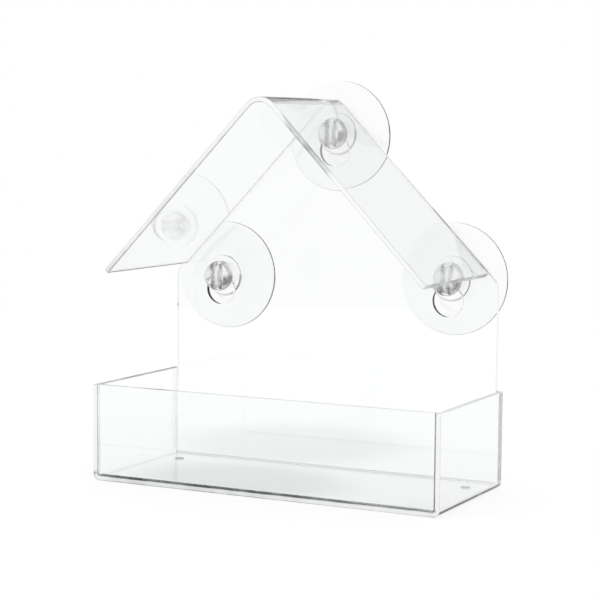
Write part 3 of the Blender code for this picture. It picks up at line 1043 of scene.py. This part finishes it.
def cup_profile(cups):
    """Radius, height over the boss face and round of each corner of the cup's profile.

    From the gate mark on the head's front down its dome and skirt, along the neck, over the boss and
    the dish to the rim, and back through the shallow hollow to the axis."""
    low, high = CUP_BOXES["right"]
    boss_face = PANEL_HIGH.y + JOINT_GAP
    rim_depth = high.y - boss_face
    neck_length = boss_face - low.y - cups.head_height
    head, neck, boss, rim = cups.head / 2, cups.neck / 2, cups.boss / 2, (high.x - low.x) / 2
    top = neck_length + cups.head_height
    flat_front, dome_inset, dome_drop, skirt_drop = 3.9 * MM, 0.5 * MM, 2.5 * MM, 4.4 * MM
    boss_height, dish_reach, dish_drop = 1.4 * MM, 5.0 * MM, 2.3 * MM
    seat, hollow_reach, hollow_side, hollow_middle = 1.2 * MM, 3.0 * MM, 2.2 * MM, 3.0 * MM
    return boss_face, np.array([
        (0.0, top - cups.gate_depth, 0.0),
        (cups.gate, top - cups.gate_depth, 0.15 * MM),
        (cups.gate, top, 0.1 * MM),
        (flat_front, top, 2.2 * MM),
        (head - dome_inset, top - dome_drop, 2.4 * MM),
        (head, top - skirt_drop, 2.4 * MM),
        (head, neck_length, 0.35 * MM),
        (neck, neck_length, 0.5 * MM),
        (neck, 0.0, 0.5 * MM),
        (boss, 0.0, 0.9 * MM),
        (boss, -boss_height, 0.5 * MM),
        (boss + dish_reach, -dish_drop, 12.0 * MM),
        (rim, cups.lip - rim_depth, 0.45 * MM),
        (rim, -rim_depth, 0.12 * MM),
        (rim - seat, -rim_depth, 0.6 * MM),
        (boss + hollow_reach, hollow_side - rim_depth, 18.0 * MM),
        (0.0, hollow_middle - rim_depth, 0.0),
    ])


def open_rounded(rows, steps):
    """Points along an open profile with round corners: rounded_path with its closing run left out."""
    ends = rows[[0, -1], :2]
    points = rounded_path(rows[:, :2][::-1], rows[:, 2][::-1], steps, 0)[0][::-1]
    return np.concatenate([ends[:1], points[steps + 1:-(steps + 1)], ends[1:]])


def cup_mesh(name, side, cups):
    """The profile turned about the cup's axis: x = radius * cos t, z = radius * sin t, y from the height."""
    boss_face, rows = cup_profile(cups)
    profile = open_rounded(rows, CUP_ARC_STEPS)
    x, z = cup_axis(side)
    t = np.arange(TURN_STEPS) * 2 * math.pi / TURN_STEPS
    radius, height = profile[:, 0, None], profile[:, 1, None]
    place = np.stack([x + radius * np.cos(t), np.broadcast_to(boss_face - height, (len(profile), TURN_STEPS)),
                      z + radius * np.sin(t)], axis=2)
    mesh = bpy.data.meshes.new(name)
    mesh.from_pydata(place.reshape(-1, 3).tolist(), [], grid_faces(len(profile), TURN_STEPS).tolist())
    with edited(mesh) as work:
        bmesh.ops.remove_doubles(work, verts=work.verts, dist=MERGE_DISTANCE)
        bmesh.ops.recalc_face_normals(work, faces=work.faces)
    return mesh


def merge_close(mesh):
    """Merges the points that drilling left on top of each other, and drops the faces of no area there."""
    with edited(mesh) as work:
        bmesh.ops.remove_doubles(work, verts=work.verts, dist=MERGE_DISTANCE)
        bmesh.ops.dissolve_degenerate(work, dist=MERGE_DISTANCE, edges=work.edges)
        bmesh.ops.triangulate(work, faces=[face for face in work.faces if len(face.verts) > 4])


def mark_cup(mesh, side, cups):
    """Shade: how grey each point is painted: painted shade at the lip, round the boss and the head and in the
    cross hole, for the dark rings that refraction draws there, and darker in the gate mark. Thick: 1 in the
    head.

    Both follow from the distance to the cup's axis and the depth behind its front; near is half the lip."""
    place = np.zeros(3 * len(mesh.vertices), np.float32)
    mesh.vertices.foreach_get("co", place)
    place = place.reshape(-1, 3)
    low, high = CUP_BOXES[side]
    x, z = cup_axis(side)
    radius, depth = np.hypot(place[:, 0] - x, place[:, 2] - z), place[:, 1] - low.y
    from_hole = np.hypot(place[:, 0] - x, depth - (cups.head_height - cups.cross_hole_height))
    head, near = depth < cups.head_height, cups.lip / 2
    marks = {"lip": radius > (high.x - low.x) / 2 - 2 * near,
             "boss": ~head & (np.abs(radius - cups.boss / 2 - near) < 3 * near),
             "head": head & (radius > cups.head / 2 - near),
             "cross hole": head & (from_hole < cups.cross_hole / 2 + near / 10),
             "gate": (depth < near) & (radius < cups.gate * 1.1)}
    shade = np.max([CUP_SHADES[mark] * there for mark, there in marks.items()], axis=0)
    for name, values in (("shade", shade), ("thick", head)):
        mesh.attributes.new(name, "FLOAT", "POINT").data.foreach_set("value", values.astype(np.float32))


def cross_hole_cutter(side, cups):
    """A round rod through the head, upright, as long as two heads are wide."""
    x, z = cup_axis(side)
    y = CUP_BOXES[side][0].y + cups.head_height - cups.cross_hole_height
    hole = circle_path((x, y), cups.cross_hole / 2, HOLE_STEPS)[0][::-1]
    ends = z + np.array([[-cups.head], [cups.head]])
    rows = (hole[:, 0], hole[:, 1], ends)
    place = np.stack([np.broadcast_to(row, (2, HOLE_STEPS)) for row in rows], axis=2)
    mesh = mesh_from_grids("cross_hole", [(place, place, CLEAR, 0.0)])
    fill_flat_ends(mesh, CLEAR, CLEAR)
    cutter = bpy.data.objects.new("cross_hole", mesh)
    bpy.context.scene.collection.objects.link(cutter)
    return cutter


class FEEDER_OT_suction_cups(bpy.types.Operator):
    """Make the three suction cups in their keyholes"""
    bl_idname = "feeder.suction_cups"
    bl_label = "Suction cups"

    def execute(self, context):
        cups = settings("cups")
        for side in CUP_BOXES:
            name = "cup_%s_moulding" % side
            raw = bpy.data.objects.new(name + "_raw", cup_mesh(name, side, cups))
            context.scene.collection.objects.link(raw)
            cutter = cross_hole_cutter(side, cups)
            drill = raw.modifiers.new("cross_hole", "BOOLEAN")
            drill.operation, drill.solver, drill.object = "DIFFERENCE", "EXACT", cutter
            context.view_layer.update()
            mesh = bpy.data.meshes.new_from_object(raw.evaluated_get(context.evaluated_depsgraph_get()))
            mesh.name = name
            for used in (raw, cutter):
                bpy.data.objects.remove(used, do_unlink=True)
            merge_close(mesh)
            mesh.shade_smooth()
            mesh.set_sharp_from_angle(angle=SHARP_ANGLE)
            mesh.materials.clear()
            mesh.materials.append(shared_material(soft_moulding))
            mark_cup(mesh, side, cups)
            piece = bpy.data.objects.new(name, mesh)
            context.scene.collection.objects.link(piece)
            show(piece, "cup_" + side, "vinyl", "suction_cup_" + side)
        return {"FINISHED"}


class FEEDER_OT_stage(bpy.types.Operator):
    """Make the plain floor, the soft light and the camera"""
    bl_idname = "feeder.stage"
    bl_label = "Stage"

    def execute(self, context):
        stage = settings("stage")
        make_camera(context, stage)
        make_floor(context, stage)
        make_world(context, stage)
        make_lamp(context)
        context.scene.view_settings.view_transform = "Standard"
        return {"FINISHED"}


def camera_matrix(stage, location):
    """Right, up and back axes of the camera from azimuth, elevation and roll, at a place."""
    a, e, r = stage.azimuth, stage.elevation, stage.roll
    back = np.array([math.sin(a) * math.cos(e), -math.cos(a) * math.cos(e), math.sin(e)])
    right = np.array([math.cos(a), math.sin(a), 0.0])
    up = np.cross(back, right)
    matrix = np.eye(4)
    matrix[:3, 0] = right * math.cos(r) + up * math.sin(r)
    matrix[:3, 1] = up * math.cos(r) - right * math.sin(r)
    matrix[:3, 2], matrix[:3, 3] = back, location
    return Matrix(matrix.tolist())


def make_camera(context, stage):
    data = bpy.data.cameras.new("camera")
    data.sensor_width = 36.0
    data.lens = stage.lens
    data.shift_x, data.shift_y = CAMERA_SHIFT
    camera = bpy.data.objects.new("camera", data)
    camera.matrix_world = camera_matrix(stage, CAMERA_PLACE)
    context.scene.collection.objects.link(camera)
    context.scene.camera = camera


def make_floor(context, stage):
    """Plain disc just below the tray: white to the camera, with part of its own shade kept, and with painted
    shadows, soft grey ovals of dimmer glow where the sheets show it through or mirror it."""
    ring = circle_path((0.0, 0.0), stage.floor_radius, FLOOR_STEPS)[0][::-1]
    mesh = bpy.data.meshes.new("floor")
    mesh.from_pydata([(x, y, -FLOOR_DEPTH) for x, y in ring.tolist()], [], [list(range(FLOOR_STEPS))])
    material = bpy.data.materials.new("floor")
    material.use_nodes = True
    tree = material.node_tree
    shader = tree.nodes["Principled BSDF"]
    shader.inputs["Base Color"].default_value = (*stage.floor_colour, 1.0)
    shader.inputs["Roughness"].default_value = 0.9
    shader.inputs["Specular IOR Level"].default_value = 0.0
    path = tree.nodes.new("ShaderNodeLightPath").outputs
    seen = brightest(tree, *(path["Is %s Ray" % kind] for kind in ("Camera", "Transmission", "Glossy")))
    through = maths(tree, "MULTIPLY", oval_light(tree, *REAR_OVAL), oval_light(tree, *TRAY_OVAL))
    level = blend(tree, path["Is Glossy Ray"], FLOOR_LEVEL, oval_light(tree, *MIRRORED_OVAL), "FLOAT")
    level = blend(tree, path["Is Transmission Ray"], level, through, "FLOAT")
    glow = tree.nodes.new("ShaderNodeEmission")
    tree.links.new(level, glow.inputs["Strength"])
    mix = tree.nodes.new("ShaderNodeMixShader")
    tree.links.new(maths(tree, "MULTIPLY", seen, FLOOR_GLOW), mix.inputs[0])
    tree.links.new(shader.outputs[0], mix.inputs[1])
    tree.links.new(glow.outputs[0], mix.inputs[2])
    tree.links.new(mix.outputs[0], tree.nodes["Material Output"].inputs["Surface"])
    mesh.materials.append(material)
    floor = bpy.data.objects.new("floor", mesh)
    context.scene.collection.objects.link(floor)


def oval_light(tree, centre, size, levels):
    """Light of the floor round a soft oval of painted shadow: the first level in its middle and the second
    beyond it.
    """
    middle = tree.nodes.new("ShaderNodeMapping")
    middle.vector_type = "TEXTURE"
    middle.inputs["Location"].default_value = (*centre, 0.0)
    middle.inputs["Scale"].default_value = (*size, 1.0)
    tree.links.new(tree.nodes.new("ShaderNodeTexCoord").outputs["Object"], middle.inputs["Vector"])
    distance = tree.nodes.new("ShaderNodeVectorMath")
    distance.operation = "LENGTH"
    tree.links.new(middle.outputs[0], distance.inputs[0])
    return ramp(tree, ramp(tree, distance.outputs["Value"], 0.4, 1.3), 0.0, 1.0, *levels)


def make_world(context, stage):
    """White to the camera. Seen through the sheets there is a white backdrop behind the object, white below,
    lamps overhead and a pale front, and the unlit studio between them. In reflections it dims gently
    overhead, and has two dark bands towards the back."""
    world = bpy.data.worlds.new("studio")
    world.use_nodes = True
    context.scene.world = world
    tree = world.node_tree
    background = tree.nodes["Background"]
    direction = tree.nodes.new("ShaderNodeTexCoord").outputs["Generated"]
    split = tree.nodes.new("ShaderNodeSeparateXYZ")
    tree.links.new(direction, split.inputs[0])
    depth, height = split.outputs["Y"], split.outputs["Z"]
    backdrop = maths(tree, "MULTIPLY", ramp(tree, depth, *BACKDROP_DEPTHS),
                     ramp(tree, height, *BACKDROP_HEIGHTS, 1.0, 0.0))
    lit = brightest(tree, backdrop, ramp(tree, height, *BELOW_HEIGHTS),
                    ramp(tree, height, *OVERHEAD_HEIGHTS, 0.0, OVERHEAD_LEVEL),
                    ramp(tree, depth, *FRONT_DEPTHS, 0.0, FRONT_LEVEL))
    through = ramp(tree, lit, 0.0, 1.0, stage.surroundings, 1.0)
    bands = [maths(tree, "MULTIPLY", ramp(tree, height, *start), ramp(tree, height, *end, 1.0, 0.0))
             for start, end in GAP_BANDS]
    gap = maths(tree, "MULTIPLY", brightest(tree, *bands),
                ramp(tree, depth, *GAP_DEPTHS, 0.0, GAP_DARKNESS))
    mirrored = maths(tree, "MULTIPLY", ramp(tree, height, *MIRRORED_HEIGHTS, *MIRRORED_LEVELS),
                     maths(tree, "SUBTRACT", 1.0, gap))
    path = tree.nodes.new("ShaderNodeLightPath").outputs
    level = blend(tree, path["Is Glossy Ray"], 1.0, mirrored, "FLOAT")
    level = blend(tree, path["Is Transmission Ray"], level, through, "FLOAT")
    level = blend(tree, path["Is Camera Ray"], level, 1.0, "FLOAT")
    tree.links.new(level, background.inputs["Strength"])
    background.inputs["Color"].default_value = (1.0, 1.0, 1.0, 1.0)


def make_lamp(context):
    """One wide soft lamp overhead, to the left."""
    data = bpy.data.lights.new("softbox", "AREA")
    data.shape = "RECTANGLE"
    data.size, data.size_y = LAMP_SIZE
    data.energy = LAMP_POWER
    lamp = bpy.data.objects.new("softbox", data)
    lamp.location = LAMP_PLACE
    aim = Vector(LAMP_AIM) - Vector(lamp.location)
    lamp.rotation_euler = aim.to_track_quat("-Z", "Y").to_euler()
    context.scene.collection.objects.link(lamp)


PIECE_OPERATORS = (FEEDER_OT_back_panel, FEEDER_OT_roof, FEEDER_OT_tray_base, FEEDER_OT_front_panel,
                   FEEDER_OT_seams, FEEDER_OT_suction_cups, FEEDER_OT_stage)


class VIEW3D_PT_feeder(bpy.types.Panel):
    """Lists the feeder's pieces, to make them one by one"""
    bl_label = "Window feeder"
    bl_idname = "VIEW3D_PT_feeder"
    bl_space_type = "VIEW_3D"
    bl_region_type = "UI"
    bl_category = "Feeder"

    def draw(self, context):
        for operator in PIECE_OPERATORS:
            self.layout.operator(operator.bl_idname)


SETTINGS = {"sheets": FeederSheets, "cups": FeederCups, "stage": FeederStage}
CLASSES = tuple(SETTINGS.values()) + PIECE_OPERATORS + (VIEW3D_PT_feeder,)


def register():
    for item in CLASSES:
        bpy.utils.register_class(item)
    for name, group in SETTINGS.items():
        setattr(bpy.types.Scene, "feeder_" + name, bpy.props.PointerProperty(type=group))


def unregister():
    for name in SETTINGS:
        delattr(bpy.types.Scene, "feeder_" + name)
    for item in reversed(CLASSES):
        bpy.utils.unregister_class(item)


def main():
    register()
    for operator in PIECE_OPERATORS:
        group, call = operator.bl_idname.split(".")
        getattr(getattr(bpy.ops, group), call)()


if __name__ == "__main__":
    main()
